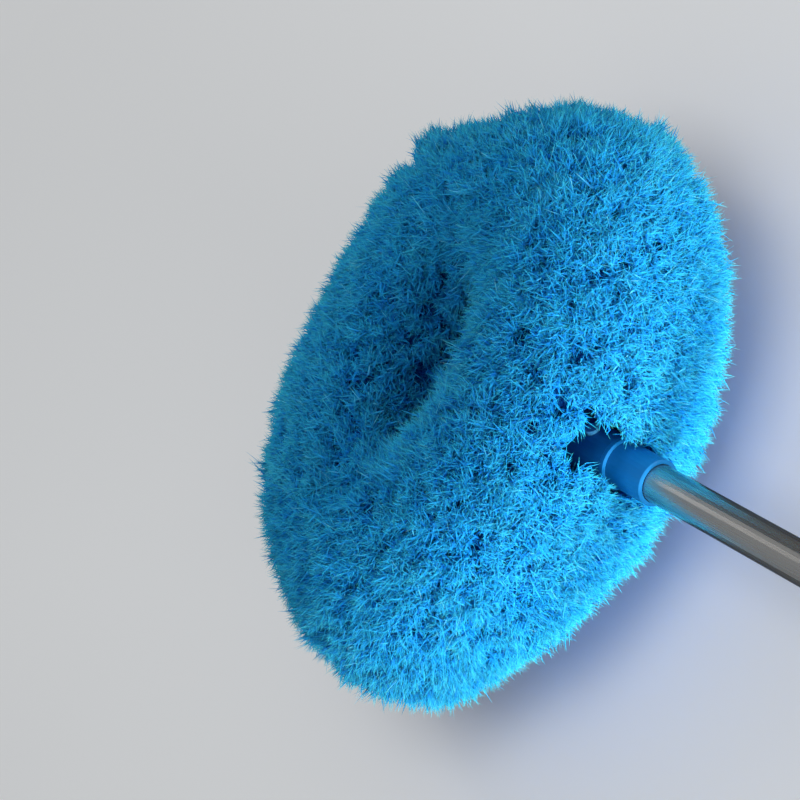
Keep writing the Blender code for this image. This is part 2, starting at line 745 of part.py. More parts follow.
def make_socket(pole, tilt, material):
    """The barrel under the hub: a trapped neck above, a raised rim at its mouth."""
    flange_end = HUB_BOTTOM_PLACE - NECK_FLANGE_DEPTH
    flange_start = flange_end - NECK_FLANGE_LENGTH
    tip = flange_start - NECK_TIP_LENGTH
    rim_top = RIM_PLACE - RIM_LENGTH
    profile = [
        (tip, 0),
        (tip, NECK_RADIUS),
        (flange_start, NECK_RADIUS),
        (flange_start, NECK_FLANGE_RADIUS),
        (flange_end, NECK_FLANGE_RADIUS),
        (flange_end, NECK_RADIUS),
        (SOCKET_TOP_PLACE, NECK_RADIUS),
        (SOCKET_TOP_PLACE, SHOULDER_RADIUS),
        (SOCKET_TOP_PLACE + SHOULDER_LENGTH, SOCKET_RADIUS),
        (rim_top, SOCKET_RADIUS),
        (rim_top + RIM_ROUND, RIM_RADIUS),
        (RIM_PLACE - RIM_ROUND, RIM_RADIUS),
        (RIM_PLACE, RIM_RADIUS - RIM_ROUND),
        (RIM_PLACE, MOUTH_BORE),
        (MOUTH_STEP_PLACE, MOUTH_BORE),
        (MOUTH_STEP_PLACE, SOCKET_BORE),
        (SOCKET_TOP_PLACE + SOCKET_ROOF, SOCKET_BORE),
        (SOCKET_TOP_PLACE + SOCKET_ROOF, 0),
    ]
    socket = add("head_socket", turned(profile, ROUND_SIDES), pole, material)
    hole = button_hole(BUTTON_RADIUS + SEAT_GAP, tilt, "button_hole")
    combine(socket, hole, "DIFFERENCE")
    return hole


def make_connector(pole, hole, material):
    """The sleeve over the top tube, with the spigot that plugs into the socket."""
    spigot_roof = SPIGOT_TOP_PLACE + SPIGOT_TOP_WALL
    profile = [
        (SPIGOT_TOP_PLACE, 0),
        (SPIGOT_TOP_PLACE, SPIGOT_RADIUS),
        (SLEEVE_TOP_PLACE, SPIGOT_RADIUS),
        (SLEEVE_TOP_PLACE, SLEEVE_RADIUS),
        (SLEEVE_END_PLACE - SLEEVE_ROUND, SLEEVE_RADIUS),
        (SLEEVE_END_PLACE, SLEEVE_RADIUS - SLEEVE_ROUND),
        (SLEEVE_END_PLACE, SLEEVE_BORE),
        (INNER_TOP_PLACE - SEAT_GAP, SLEEVE_BORE),
        (INNER_TOP_PLACE - SEAT_GAP, SPIGOT_BORE),
        (spigot_roof, SPIGOT_BORE),
        (spigot_roof, 0),
    ]
    connector = add("pole_connector", turned(profile, ROUND_SIDES), pole, material)
    combine(connector, hole, "DIFFERENCE")


def make_button(tilt, material):
    """A stepped button: the flange inside the spigot stops it from coming out."""
    top = SOCKET_RADIUS + BUTTON_PROUD
    flange = BUTTON_FLANGE_PLACE
    profile = [
        (-top, 0),
        (-top, BUTTON_RADIUS - BUTTON_ROUND),
        (BUTTON_ROUND - top, BUTTON_RADIUS),
        (-flange, BUTTON_RADIUS),
        (-flange, BUTTON_FLANGE_RADIUS),
        (BUTTON_FLANGE_HEIGHT - flange, BUTTON_FLANGE_RADIUS),
        (BUTTON_FLANGE_HEIGHT - flange, 0),
    ]
    add("snap_button", turned(profile, BUTTON_SIDES), tilt, material)


def make_button_spring(tilt, material):
    """A folded leaf under the button that presses on the spigot's far wall."""
    half = SPRING_THICKNESS / 2
    near = BUTTON_FLANGE_PLACE - BUTTON_FLANGE_HEIGHT - SEAT_GAP - half
    edge = SPRING_WIDTH / 2
    far = -(math.sqrt((SPIGOT_BORE - SEAT_GAP) ** 2 - edge**2) - half - SEAT_GAP)
    bend = (near - far) / 2
    middle = (near + far) / 2
    line = [(SPRING_LEG / 2, near)]
    for step in range(SPRING_BEND_STEPS + 1):
        turn = math.pi * step / SPRING_BEND_STEPS
        line.append((-SPRING_LEG / 2 - bend * math.sin(turn), middle + bend * math.cos(turn)))
    line.append((SPRING_LEG, far))
    shape = bmesh.new()
    rings = []
    for index, (y, z) in enumerate(line):
        before = Vector(line[max(index - 1, 0)])
        after = Vector(line[min(index + 1, len(line) - 1)])
        along = (after - before).normalized()
        away = Vector((-along.y, along.x)) * half
        ring = []
        for x, sign in ((-edge, -1), (edge, -1), (edge, 1), (-edge, 1)):
            ring.append(shape.verts.new((x, y + away.x * sign, z + away.y * sign)))
        rings.append(ring)
    for first, second in zip(rings, rings[1:]):
        join_rings(shape, first, second)
    shape.faces.new(rings[0])
    shape.faces.new(rings[-1])
    add("button_spring", shape, tilt, material)


# Pole

def make_tubes(pole, material):
    """Three thin-walled steel tubes, each sliding in the next."""
    tubes = [
        ("inner_tube", INNER_TOP_PLACE, INNER_END_PLACE, INNER_TUBE_RADIUS),
        ("middle_tube", MIDDLE_TOP_PLACE, MIDDLE_END_PLACE, MIDDLE_TUBE_RADIUS),
        ("outer_tube", OUTER_TOP_PLACE, OUTER_END_PLACE, OUTER_TUBE_RADIUS),
    ]
    for name, start, end, radius in tubes:
        shape = tube(start, end, radius, radius - TUBE_WALL, TUBE_SIDES)
        add(name, shape, pole, material)


def make_guide(name, pole, tube_end, tube_radius, outer_tube_radius, material):
    """A plug in a sliding tube's lower end whose rim runs on the next tube's wall."""
    start = tube_end - GUIDE_PLUG_LENGTH
    face = tube_end + SEAT_GAP
    plug = tube_radius - TUBE_WALL - SEAT_GAP
    rim = outer_tube_radius - TUBE_WALL - SEAT_GAP
    profile = [
        (start, GUIDE_BORE),
        (start, plug),
        (face, plug),
        (face, rim),
        (face + GUIDE_RIM_LENGTH, rim),
        (face + GUIDE_RIM_LENGTH, GUIDE_BORE),
    ]
    add(name, turned(profile, GUIDE_SIDES), pole, material)


def make_collet(name, pole, tube_top, inside_radius, tube_radius, material):
    """A bush on the larger tube's end, with fingers that grip the smaller tube."""
    sleeve_bore = tube_radius + SEAT_GAP
    outside = sleeve_bore + COLLET_WALL
    finger_bore = inside_radius + SEAT_GAP
    finger_end = tube_top - SEAT_GAP
    finger_start = finger_end - FINGER_LENGTH
    profile = [
        (finger_start, finger_bore),
        (finger_start, outside - FINGER_TAPER),
        (finger_end, outside),
        (tube_top + COLLET_SLEEVE_LENGTH, outside),
        (tube_top + COLLET_SLEEVE_LENGTH, sleeve_bore),
        (finger_end, sleeve_bore),
        (finger_end, finger_bore),
    ]
    collet = add(name, turned(profile, ROUND_SIDES), pole, material)
    half = COLLET_SLOT_WIDTH / 2
    reach = outside + OVERRUN
    bottom = -(finger_start + COLLET_SLOT_LENGTH)
    for word, x, y in (("x", reach, half), ("y", half, reach)):
        shape = block((-x, -y, bottom), (x, y, OVERRUN - finger_start))
        combine(collet, helper(f"{name}_slot_{word}", shape, pole), "DIFFERENCE")


def make_collar(name, pole, place, inside_radius, tube_radius, material):
    """The twist-lock collar, ridged round its two bands, with a lip over the collet."""
    collet_outside = tube_radius + SEAT_GAP + COLLET_WALL
    bore = collet_outside + SEAT_GAP
    lip_bore = inside_radius + SEAT_GAP + SEAT_GAP
    outside = bore + COLLAR_WALL
    waist = outside - COLLAR_WAIST_DEPTH
    end = place + COLLAR_LENGTH
    lip = place + COLLAR_LIP
    band = COLLAR_LENGTH / 3
    profile = [
        (place, lip_bore),
        (place, outside - COLLAR_ROUND),
        (place + COLLAR_ROUND, outside),
        (place + band, outside),
        (place + band + COLLAR_ROUND, waist),
        (end - band - COLLAR_ROUND, waist),
        (end - band, outside),
        (end - COLLAR_ROUND, outside),
        (end, outside - COLLAR_ROUND),
        (end, bore),
        (lip, bore),
        (lip, lip_bore),
    ]
    ridged = (2, 3, 6, 7)
    pitch = COLLAR_SIDES // COLLAR_RIDGES

    def drawn_in(index, step):
        return COLLAR_RIDGE_DEPTH if index in ridged and step % pitch == 0 else 0

    add(name, turned(profile, COLLAR_SIDES, drawn_in), pole, material)


def make_grip(pole, material):
    """A plastic sleeve over the lower tube with shallow grooves round it."""
    end = OUTER_END_PLACE
    start = end - GRIP_LENGTH
    bore = OUTER_TUBE_RADIUS + SEAT_GAP
    profile = [(start, bore), (start, GRIP_END_RADIUS)]
    pitch = GRIP_LENGTH / (GRIP_RINGS + 1)
    for ring in range(GRIP_RINGS):
        middle = start + pitch * (ring + 1)
        half = GRIP_GROOVE_LENGTH / 2
        profile.append((middle - half, GRIP_RADIUS))
        profile.append((middle, GRIP_RADIUS - GRIP_GROOVE_DEPTH))
        profile.append((middle + half, GRIP_RADIUS))
    profile += [(end, GRIP_END_RADIUS), (end, bore)]
    add("grip", turned(profile, GRIP_SIDES), pole, material)


def make_end_cap(pole, material):
    """A plug in the lower tube, a flange over its end and a flat tab to hang it by."""
    plug = OUTER_TUBE_RADIUS - TUBE_WALL - SEAT_GAP
    flange_end = CAP_FACE_PLACE + CAP_FLANGE_LENGTH
    profile = [
        (CAP_FACE_PLACE - CAP_PLUG_LENGTH, 0),
        (CAP_FACE_PLACE - CAP_PLUG_LENGTH, plug),
        (CAP_FACE_PLACE, plug),
        (CAP_FACE_PLACE, CAP_FLANGE_RADIUS),
        (flange_end - CAP_ROUND, CAP_FLANGE_RADIUS),
        (flange_end, CAP_FLANGE_RADIUS - CAP_ROUND),
        (flange_end, 0),
    ]
    cap = add("end_cap", turned(profile, ROUND_SIDES), pole, material)
    half_x, half_y = TAB_WIDTH / 2, TAB_THICKNESS / 2
    shape = block((-half_x, -half_y, -TAB_END_PLACE), (half_x, half_y, -TAB_START_PLACE))

    def outer_corner(edge):
        first, second = (vert.co for vert in edge.verts)
        across = abs((first - second).normalized().y)
        return across > 0.9 and first.z < -TAB_START_PLACE - TAB_LENGTH / 2

    rounded_edges(shape, half_x * TAB_CORNER_SHARE, TAB_CORNER_STEPS, outer_corner)
    combine(cap, helper("cap_tab", shape, pole), "UNION")
    hole = bmesh.new()
    bmesh.ops.create_cone(
        hole,
        cap_ends=True,
        segments=HANG_HOLE_SIDES,
        radius1=HANG_HOLE_RADIUS,
        radius2=HANG_HOLE_RADIUS,
        depth=TAB_THICKNESS + OVERRUN,
    )
    cutter = helper("hang_hole", hole, pole)
    cutter.location = (0, 0, -HANG_HOLE_PLACE)
    cutter.rotation_euler = (math.pi / 2, 0, 0)
    combine(cap, cutter, "DIFFERENCE")


def build():
    """The whole duster."""
    for old in list(bpy.data.objects):
        bpy.data.objects.remove(old, do_unlink=True)
    ring, pole, tilt = place_frames()
    pile = finish("microfibre pile", (0.02, 0.38, 0.83), 0.9)
    blue = finish("blue plastic", (0.02, 0.2, 0.52), 0.42)
    bright = finish("light blue plastic", (0.05, 0.38, 0.75), 0.4)
    steel = finish("brushed stainless steel", (0.55, 0.53, 0.5), 0.3, 1.0)
    wire = finish("spring wire", (0.45, 0.45, 0.46), 0.35, 1.0)
    coat = finish("arm coating", (0.03, 0.16, 0.4), 0.6)
    nylon = finish("white nylon", (0.82, 0.82, 0.8), 0.5)
    make_pile(ring, pile)
    make_arms(ring, coat, wire, steel)
    make_coupler(ring, blue)
    make_hub(ring, pole, blue)
    make_screws(ring, wire)
    hole = make_socket(pole, tilt, blue)
    make_connector(pole, hole, blue)
    make_button(tilt, bright)
    make_button_spring(tilt, wire)
    make_tubes(pole, steel)
    make_guide(
        "inner_guide", pole, INNER_END_PLACE, INNER_TUBE_RADIUS, MIDDLE_TUBE_RADIUS, nylon
    )
    make_guide(
        "middle_guide", pole, MIDDLE_END_PLACE, MIDDLE_TUBE_RADIUS, OUTER_TUBE_RADIUS, nylon
    )
    locks = [
        ("middle", MIDDLE_COLLAR_PLACE, MIDDLE_TOP_PLACE, INNER_TUBE_RADIUS, MIDDLE_TUBE_RADIUS),
        ("outer", OUTER_COLLAR_PLACE, OUTER_TOP_PLACE, MIDDLE_TUBE_RADIUS, OUTER_TUBE_RADIUS),
    ]
    for word, collar_place, tube_top, inside_radius, tube_radius in locks:
        make_collet(f"{word}_collet", pole, tube_top, inside_radius, tube_radius, nylon)
        make_collar(
            f"{word}_lock_collar", pole, collar_place, inside_radius, tube_radius, blue
        )
    make_grip(pole, blue)
    make_end_cap(pole, blue)


build()
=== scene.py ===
"""Looks of the ceiling fan duster: the strands of its pile, its plastics and its steel.

Lengths are in metres. The ring of pile is described in its own flat frame: x along the
ring, y away from the pole, z up, from the ring's centre. A strand is placed by its row,
from 0 at the hub to 1 at the top of an arm, and by its turn about the arm.
"""

import math

import bmesh
import bpy
import numpy as np
from mathutils import Matrix, Vector


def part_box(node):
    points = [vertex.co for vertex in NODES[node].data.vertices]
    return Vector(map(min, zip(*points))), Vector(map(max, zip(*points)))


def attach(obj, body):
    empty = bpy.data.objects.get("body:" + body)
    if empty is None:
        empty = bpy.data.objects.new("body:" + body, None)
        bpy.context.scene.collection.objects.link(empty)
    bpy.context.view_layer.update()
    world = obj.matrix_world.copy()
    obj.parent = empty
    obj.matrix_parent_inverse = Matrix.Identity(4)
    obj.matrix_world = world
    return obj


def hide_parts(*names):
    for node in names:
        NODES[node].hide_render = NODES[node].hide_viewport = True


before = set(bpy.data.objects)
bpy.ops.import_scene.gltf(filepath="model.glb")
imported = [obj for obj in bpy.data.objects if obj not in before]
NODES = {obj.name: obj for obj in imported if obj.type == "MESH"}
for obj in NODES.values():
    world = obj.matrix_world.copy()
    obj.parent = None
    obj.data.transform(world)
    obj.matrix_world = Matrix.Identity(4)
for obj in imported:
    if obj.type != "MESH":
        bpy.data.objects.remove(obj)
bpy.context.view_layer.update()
MM = 0.001
TINY = 1e-6

# The ring of pile
RING_HALF_LENGTH = 165 * MM
RING_HALF_HEIGHT = 131.5 * MM
PILE_REACH = 73 * MM
ARM_HALF_LENGTH = 90 * MM
ARM_HALF_HEIGHT = 56 * MM
HOLE_HALF_LENGTH = 24 * MM
HOLE_HALF_HEIGHT = 11 * MM
OVAL_POWER = 2.25
EDGE_POWER = 4
SECTIONS = 6
BACKING_RADIUS = 7 * MM
BACKING_START = 28 * MM
BACKING_STOP = 14 * MM
MIDDLE_GAP = 0.5 * MM
TIP_DEPTH = 0.5
OVAL_STEPS = 600
ANGLE_STEP = 1e-4

# The grid that measures the pile's surface: steps in one section, and in half a turn
ROW_STEPS = 24
TURN_STEPS = 36
BANDS_SHARE = 0.55

# Strands. A share is one of the way from the arm to the pile's surface
STRANDS_PER_SIDE = 165000
STRANDS_PER_TUFT = 60
STRAND_SEED = 41
WISP_WIDTH = 1.1 * MM
FINE_WIDTH = 0.58 * MM
LEAST_THICKNESS = 0.2 * MM
FINE_STRANDS = 0.6
STRAY_STRANDS = 0.02
FLATNESS = 0.6
WIDTH_RANGE = (0.7, 1.25)
WIDTH_SHARES = (0.9, 1.0)
START_SHARE = 0.77
TUFT_END_SHARE = 1.05
TUFT_LOSS = 0.08
STRAND_LOSS = 0.07
DOME = 0.12
ALONG_SHARES = (0.0, 0.55, 1.0)
BEND_SHARES = (0.25, 1.0, 1.1)
TUFT_SPREAD = 4.2 * MM
TUFT_FAN = (0.45, 0.75)
TIP_SPLAY = 3 * MM
STRAY_SPLAY = 1.2
OTHER_SPLAY = 0.8
SPLAY_POWER = 1.6
KINK = 1.9 * MM
LEAN = 4 * MM
TUFT_LEAN = 4 * MM
LEAN_POWER = 2.2
SIDEWAYS_SHARE = 0.75
CROSSING = 11 * MM
CROSSING_ROWS = 0.1
FLOOR_GAP = 0.3 * MM
FLOOR_SPREAD = 1.2 * MM
TUFT_TONE = 0.66
STRAND_TONE = 0.28
PILE_SHADING = 0.93

# Slow waves by which neighbouring strands lean together: length and size of each kind
WAVES = ((90 * MM, 0.4), (60 * MM, 0.5), (42 * MM, 0.4), (30 * MM, 0.3))
WAVES_OF_A_KIND = 3

# The dense lower pile under the loose strands
CORE_SHARE = 0.78
CORE_TURNS = 80
CORE_UNEVEN = 0.8
CORE_LUMPS = 2 * MM
CORE_LUMP_CROWDING = 4

# Where the pile stands uneven: a place on it, by how much, and over what breadth
UNEVEN = (
    ((-170 * MM, -10 * MM, 0), 11 * MM, 52 * MM),
    ((-152 * MM, -52 * MM, -18 * MM), 5 * MM, 22 * MM),
    ((-158 * MM, -36 * MM, -6 * MM), 4 * MM, 26 * MM),
    ((106 * MM, 80 * MM, 52 * MM), 9 * MM, 22 * MM),
    ((143 * MM, 60 * MM, 27 * MM), -13 * MM, 30 * MM),
    ((162 * MM, -24 * MM, -11 * MM), 6 * MM, 16 * MM),
    ((148 * MM, -46 * MM, -34 * MM), -8 * MM, 22 * MM),
    ((118 * MM, -69 * MM, -52 * MM), -9 * MM, 26 * MM),
    ((85 * MM, -87 * MM, -57 * MM), -7 * MM, 24 * MM),
    ((27 * MM, -108 * MM, -52 * MM), 6 * MM, 16 * MM),
    ((-66 * MM, -95 * MM, -56 * MM), -5 * MM, 22 * MM),
    ((-104 * MM, -82 * MM, -52 * MM), -7 * MM, 26 * MM),
)

# The parting over the socket
PARTING_START = 66 * MM
PARTING_RUN = (62 * MM, 88 * MM)
PARTING_SLOPE = 1.18
SOCKET_TOP = 13 * MM
BUTTON_SIDE_ROOM = 21 * MM
OTHER_SIDE_ROOM = 17 * MM
PARTING_BREADTH = 70 * MM
LOOSER_SHARE = 0.25
POLE_ROOM_NEAR = 15.5 * MM
POLE_ROOM_FAR = 19 * MM
POLE_ROOM_RUN = (70 * MM, 125 * MM)
LOOSER_ROOM = 5 * MM

# Where strands and core lie in the bake's picture: across by tone, up by share
SPOT_EDGE = 0.02
SPOT_RUN = 0.95
SPOT_WIDTH = 0.002
SPOT_HEIGHT = 0.003
CORE_SPOT_RUNS = (0.95, 0.55)
CORE_SPOT_HEIGHT = 0.004
CORE_TONE = 0.5

# Strand colours: darker low in the pile as painted shade, paler at the tips as painted light
# Painted shade: the strands' lower parts, deeper or paler at random by tone
SHADED_BODY_DEEP = (0.002, 0.14, 0.60)
SHADED_BODY_PALE = (0.005, 0.20, 0.70)
# Painted light: the strands' tips, paler as if lit, deeper or paler at random by tone; stray
# strands paler still
LIT_TIP_DEEP = (0.006, 0.235, 0.69)
LIT_TIP_PALE = (0.015, 0.315, 0.76)
TIP_STRAY = (0.05, 0.42, 0.84)
# Painted shade: the dense core is coloured dark to stand for the deep shade between tufts, with
# a fibre-like mottle
MATTED_SHADE_DEEP = (0.001, 0.045, 0.24)
MATTED_SHADE_PALE = (0.003, 0.13, 0.46)
# Shares over which the painted shade of the lower strands turns into the painted light of the
# tips
SHADE_TO_LIGHT_SHARES = (0.84, 1.0)
MATTED_SHARES = (0.1, 0.6)

# Textures: how many marks to the metre, and how far they are drawn out along the pole
LUMPS = 1100
FLOW_MARKS = 60
GRAIN = 2600
SCUFFS = 240
BRUSH_LINES = 1800
BRUSH_BANDS = 260
METAL_TOOTH = 1500
SCUFF_STRETCH = (1, 0.15, 1)
LINE_STRETCH = (1, 0.012, 1)
BAND_STRETCH = (1, 0.02, 1)
GRAIN_HEIGHT = 0.02 * MM
BRUSH_HEIGHT = 0.012 * MM

arm_low, arm_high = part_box("right_arm_tube")
CENTRE = Vector((0, (arm_low.y + arm_high.y) / 2, (arm_low.z + arm_high.z) / 2))


# Materials

class Value:
    """A node's output. Arithmetic on it adds Math nodes."""

    def __init__(self, finish, socket):
        self.finish = finish
        self.socket = socket

    def math(self, operation, first, second):
        settings = {"operation": operation}
        return self.finish.node("Math", {0: first, 1: second}, settings)

    def __add__(self, other):
        return self.math("ADD", self, other)

    def __radd__(self, other):
        return self.math("ADD", other, self)

    def __mul__(self, other):
        return self.math("MULTIPLY", self, other)

    def __rmul__(self, other):
        return self.math("MULTIPLY", other, self)


class Finish:
    """A material being made, with its Principled shader."""

    def __init__(self, name, **values):
        self.material = bpy.data.materials.new(name)
        self.material.use_nodes = True
        self.tree = self.material.node_tree
        self.shader = self.tree.nodes["Principled BSDF"]
        for socket, value in values.items():
            self.set(socket.replace("_", " "), value)

    def set(self, socket, value):
        self.plug(self.shader.inputs[socket], value)

    def plug(self, socket, value):
        if isinstance(value, Value):
            self.tree.links.new(value.socket, socket)
        elif isinstance(value, tuple) and len(value) == 3 and socket.type == "RGBA":
            socket.default_value = (*value, 1)
        else:
            socket.default_value = value

    def node(self, kind, inputs, settings=None, output=0):
        """Any node: its settings, a ramp's stops among them, then its sockets' values."""
        made = self.tree.nodes.new("ShaderNode" + kind)
        for name, value in (settings or {}).items():
            if name == "stops":
                while len(made.color_ramp.elements) < len(value):
                    made.color_ramp.elements.new(1)
                for stop, (place, colour) in zip(made.color_ramp.elements, value):
                    stop.position = place
                    stop.color = (*colour, 1)
            else:
                setattr(made, name, value)
        for name, value in inputs.items():
            self.plug(made.inputs[name], value)
        return Value(self, made.outputs[output])

    def place(self, scale=(1, 1, 1)):
        """The point on the piece in metres, times a scale along each axis."""
        point = self.node("TexCoord", {}, output="Object")
        return self.node("VectorMath", {0: point, 1: scale}, {"operation": "MULTIPLY"})

    def noise(self, scale, detail, stretch=(1, 1, 1)):
        """Cloudy values: how many to the metre, in how many layers, and how drawn out."""
        inputs = {"Vector": self.place(stretch), "Scale": scale, "Detail": detail}
        return self.node("TexNoise", inputs, {"noise_dimensions": "3D"})

    def mix(self, share, first, second):
        """A blend of two colours."""
        return self.node("Mix", {0: share, 6: first, 7: second}, {"data_type": "RGBA"}, 2)

    def ramp(self, share, stops):
        return self.node("ValToRGB", {0: share}, {"stops": stops})

    def smooth(self, value, low, high):
        """0 below one value, 1 above another, eased between."""
        settings = {"interpolation_type": "SMOOTHSTEP"}
        return self.node("MapRange", {0: value, 1: low, 2: high}, settings)

    def bump(self, height, distance):
        self.set("Normal", self.node("Bump", {"Height": height, "Distance": distance}))

    def attribute(self, name):
        """A value that the mesh holds at each of its points."""
        return self.node("Attribute", {}, {"attribute_name": name}, "Fac")


def microfibre():
    """Blue strands: painted shade makes them deep blue low in the pile, and painted light makes
    them pale and bright at the tips.
    """
    made = Finish(
        "microfibre",
        Roughness=0.8,
        Specular_IOR_Level=0.05,
        Sheen_Weight=0.05,
        Sheen_Roughness=0.5,
        Sheen_Tint=(0.1, 0.65, 1.0),
        Subsurface_Weight=1.0,
        Subsurface_Radius=(0.3, 0.7, 1.0),
        Subsurface_Scale=1 * MM,
    )
    share = made.attribute("strand_share")
    tone = made.attribute("strand_tone")
    # Painted shade on the lower strands, blended by share into painted light at the tips
    body = made.mix(tone, SHADED_BODY_DEEP, SHADED_BODY_PALE)
    tips = ((0.0, LIT_TIP_DEEP), (TUFT_TONE + STRAND_TONE, LIT_TIP_PALE), (1.0, TIP_STRAY))
    loose = made.mix(made.smooth(share, *SHADE_TO_LIGHT_SHARES), body, made.ramp(tone, tips))
    # The core: a fibre-like mottle, painted dark as deep shade
    matted_shade = made.ramp(made.noise(LUMPS, 4), ((0.38, MATTED_SHADE_DEEP), (0.62, MATTED_SHADE_PALE)))
    made.set("Base Color", made.mix(made.smooth(share, *MATTED_SHARES), matted_shade, loose))
    return made.material


def moulded_plastic(name, colour, roughness, mottle=0.06):
    """Moulded plastic with a fine grain, faint flow marks and a few rubbed places."""
    made = Finish(name, Specular_IOR_Level=0.35)
    cloud = made.noise(FLOW_MARKS, 2)
    deep = tuple(channel * (1 - 2 * mottle) for channel in colour)
    pale = tuple(min(channel * (1 + 2 * mottle) + 0.004, 1) for channel in colour)
    made.set("Base Color", made.mix(made.smooth(cloud, 0.3, 0.7), deep, pale))
    grain = made.noise(GRAIN, 2)
    scuffs = made.smooth(made.noise(SCUFFS, 4, SCUFF_STRETCH), 0.62, 0.75)
    made.set("Roughness", roughness - 0.05 + grain * 0.1 + scuffs * 0.12)
    made.bump(grain, GRAIN_HEIGHT)
    return made.material


def brushed_steel():
    """Drawn stainless tube: fine lines along its length, a little uneven."""
    made = Finish("brushed steel", Metallic=1.0)
    lines = made.noise(BRUSH_LINES, 3, LINE_STRETCH)
    bands = made.noise(BRUSH_BANDS, 2, BAND_STRETCH)
    made.set("Base Color", made.mix(bands, (0.35, 0.34, 0.33), (0.47, 0.46, 0.445)))
    made.set("Roughness", 0.2 + lines * 0.16)
    made.bump(lines, BRUSH_HEIGHT)
    return made.material


def plain_metal(name, colour, roughness):
    """Drawn or plated metal with a fine tooth."""
    made = Finish(name, Metallic=1.0)
    grain = made.noise(METAL_TOOTH, 3)
    made.set("Base Color", made.mix(grain, tuple(0.85 * c for c in colour), colour))
    made.set("Roughness", roughness - 0.08 + grain * 0.16)
    return made.material


# The ring's ovals, for many points at once

def oval(angle, half_length, half_height):
    """Points of an oval that is a little squarer than an ellipse."""
    power = 2 / OVAL_POWER
    across, along = np.cos(angle), np.sin(angle)
    x = half_length * np.sign(across) * np.abs(across) ** power
    y = half_height * np.sign(along) * np.abs(along) ** power
    return np.stack([x, y], -1)


def ring_point(angle, depth):
    """Points in the ring's plane: depth is -1 at the hole, 0 on the arm, 1 at the edge."""
    outside = depth > 0
    to_x = np.where(outside, RING_HALF_LENGTH, HOLE_HALF_LENGTH)
    to_y = np.where(outside, RING_HALF_HEIGHT, HOLE_HALF_HEIGHT)
    share = np.abs(depth)
    half_x = ARM_HALF_LENGTH + (to_x - ARM_HALF_LENGTH) * share
    half_y = ARM_HALF_HEIGHT + (to_y - ARM_HALF_HEIGHT) * share
    return oval(angle, half_x, half_y)


def angle_at_x(x, half_length, top):
    """The angle at which an oval passes x, on its half away from the pole or towards it."""
    angle = math.acos((x / half_length) ** (OVAL_POWER / 2))
    return angle if top else -angle


def angle_along(first, last, depth, share):
    """The angles at shares of the run along an oval."""
    fine = np.linspace(first, last, OVAL_STEPS)
    points = ring_point(fine, np.full(fine.shape, depth))
    steps = np.linalg.norm(np.diff(points, axis=0), axis=1)
    run = np.concatenate([[0], np.cumsum(steps)])
    return np.interp(share * run[-1], run, fine)


def arm_angle(row):
    """Where a row of strands leaves the arm."""
    start = angle_at_x(BACKING_START, ARM_HALF_LENGTH, False)
    stop = angle_at_x(BACKING_STOP, ARM_HALF_LENGTH, True)
    return angle_along(start, stop, 0.0, row)


def tip_angle(row):
    """Where a row of strands ends, spread so that the two sides nearly meet."""
    start = angle_at_x(MIDDLE_GAP, RING_HALF_LENGTH, False)
    stop = angle_at_x(MIDDLE_GAP, RING_HALF_LENGTH, True)
    return angle_along(start, stop, TIP_DEPTH, row)


def root_point(row, turn):
    """Points on the backing, which is wrapped round the arm."""
    angle = arm_angle(row)
    flat = np.zeros(angle.shape)
    centre = ring_point(angle, flat)
    along = ring_point(angle + ANGLE_STEP, flat) - ring_point(angle - ANGLE_STEP, flat)
    along /= np.linalg.norm(along, axis=-1, keepdims=True)
    x = centre[..., 0] + along[..., 1] * np.cos(turn) * BACKING_RADIUS
    y = centre[..., 1] - along[..., 0] * np.cos(turn) * BACKING_RADIUS
    return np.stack([x, y, np.sin(turn) * BACKING_RADIUS], -1)


def reach_point(row, turn, share):
    """Points of the pile, as a share of its full reach from the arm."""
    angle = tip_angle(row)
    across, up = np.cos(turn), np.sin(turn)
    arm = ring_point(angle, np.zeros(angle.shape))
    hole = ring_point(angle, np.full(angle.shape, -1.0))
    room = np.linalg.norm(arm - hole, axis=-1)
    inward = np.maximum(-across, TINY)
    near, wall = 1 / PILE_REACH, inward / room
    bound = (near**EDGE_POWER + wall**EDGE_POWER) ** (-1 / EDGE_POWER)
    reach = np.where(across < 0, bound, PILE_REACH)
    depth = np.where(across < 0, -inward * share * reach / room, across * share)
    flat = ring_point(angle, depth)
    return np.concatenate([flat, (reach * up * share)[..., None]], -1)


# Strands

def lean_field(points, chance):
    """Slow waves that make neighbouring strands lean together."""
    waves = []
    for length, size in WAVES:
        for _ in range(WAVES_OF_A_KIND):
            away = chance.normal(size=3)
            away *= 2 * math.pi / length / np.linalg.norm(away)
            push = chance.normal(size=3)
            push *= size / np.linalg.norm(push)
            waves.append((away, push, chance.uniform(0, 2 * math.pi)))
    total = np.zeros(points.shape)
    for away, push, phase in waves:
        total += np.sin(points @ away + phase)[..., None] * push
    return total


def sideways(vectors, along, share=1.0):
    """Vectors without a share of their part along a direction."""
    return vectors - share * (vectors * along).sum(-1, keepdims=True) * along


def unit(vectors):
    return vectors / np.maximum(np.linalg.norm(vectors, axis=-1, keepdims=True), TINY)


def surface_cells(section, half):
    """The pile's outer surface in small cells: their corners' rows and turns, and areas."""
    rows = np.linspace(section, section + 1, ROW_STEPS + 1) / SECTIONS
    turns = half * math.pi + np.linspace(0, math.pi, TURN_STEPS + 1)
    row, turn = np.meshgrid(rows, turns, indexing="ij")
    outer = reach_point(row, turn, 1.0)
    down = outer[1:, :-1] - outer[:-1, :-1]
    over = outer[:-1, 1:] - outer[:-1, :-1]
    return rows, turns, np.linalg.norm(np.cross(down, over), axis=-1)


